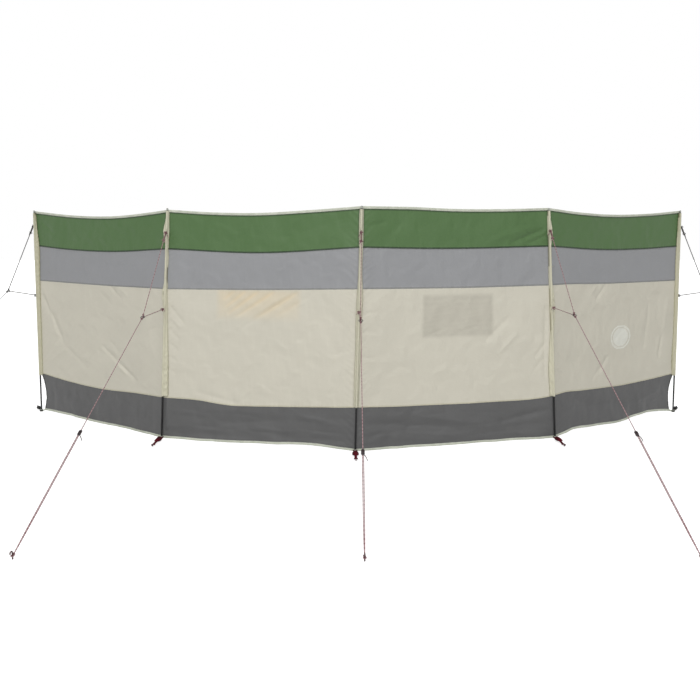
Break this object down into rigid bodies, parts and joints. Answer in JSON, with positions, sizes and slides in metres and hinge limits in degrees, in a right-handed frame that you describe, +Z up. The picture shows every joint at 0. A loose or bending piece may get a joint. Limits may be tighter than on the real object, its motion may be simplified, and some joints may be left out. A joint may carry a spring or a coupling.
{
  "type": "beach windbreak of four cloth bays on five poles, held by guy lines",
  "caption": "Curved beach windbreak: striped cloth bays on steel poles in sleeves, held up by guy lines with rings, sliders and ground pegs, with pockets on the inner side.",
  "frame": {"origin": "centre of the middle pole's foot, on the ground", "axes": "+X along the windbreak, to the right as seen from the outer (windward) side; +Y to the sheltered inner side; +Z up"},
  "size_m": [7.2514, 3.6253, 1.3998],
  "materials": {
    "pole_steel": "satin black powder coat",
    "foot_cup": "pale moulded cup",
    "sleeve_cloth": "cream woven polyester",
    "green_cloth": "green woven polyester",
    "light_grey_cloth": "light grey woven polyester",
    "cream_cloth": "cream woven polyester",
    "dark_grey_cloth": "dark grey coated polyester",
    "binding_tape": "cream ribbed binding tape",
    "pocket_cloth": "thin pale cloth",
    "pocket_mesh": "open mesh",
    "red_rope": "braided cord with a red fleck",
    "grey_rope": "braided grey cord",
    "ring_metal": "small steel rings",
    "slider_plastic": "moulded line slider",
    "peg_steel": "painted steel wire",
    "strap_webbing": "dark red webbing"
  },
  "bodies": {
    "root": {"pole_1": "pole_steel", "pole_2": "pole_steel", "pole_3": "pole_steel", "pole_4": "pole_steel", "pole_5": "pole_steel", "sleeve_1": "sleeve_cloth", "sleeve_2": "sleeve_cloth", "sleeve_3": "sleeve_cloth", "sleeve_4": "sleeve_cloth", "sleeve_5": "sleeve_cloth", "green_band_1": "green_cloth", "green_band_2": "green_cloth", "green_band_3": "green_cloth", "green_band_4": "green_cloth", "grey_band_1": "light_grey_cloth", "grey_band_2": "light_grey_cloth", "grey_band_3": "light_grey_cloth", "grey_band_4": "light_grey_cloth", "cream_wall_1": "cream_cloth", "cream_wall_2": "cream_cloth", "cream_wall_3": "cream_cloth", "cream_wall_4": "cream_cloth", "skirt_1": "dark_grey_cloth", "skirt_2": "dark_grey_cloth", "skirt_3": "dark_grey_cloth", "skirt_4": "dark_grey_cloth", "foot_cups": "foot_cup", "top_tape": "binding_tape", "hem_tape": "binding_tape", "cloth_pocket": "pocket_cloth", "mesh_pocket": "pocket_mesh", "guy_line_1": "grey_rope", "guy_line_2": "red_rope", "guy_line_3": "red_rope", "guy_line_4": "red_rope", "guy_line_5": "grey_rope", "guy_rings": "ring_metal", "line_sliders": "slider_plastic", "guy_pegs": "peg_steel", "foot_straps": "strap_webbing", "foot_pegs": "peg_steel"}
  },
  "joints": []
}
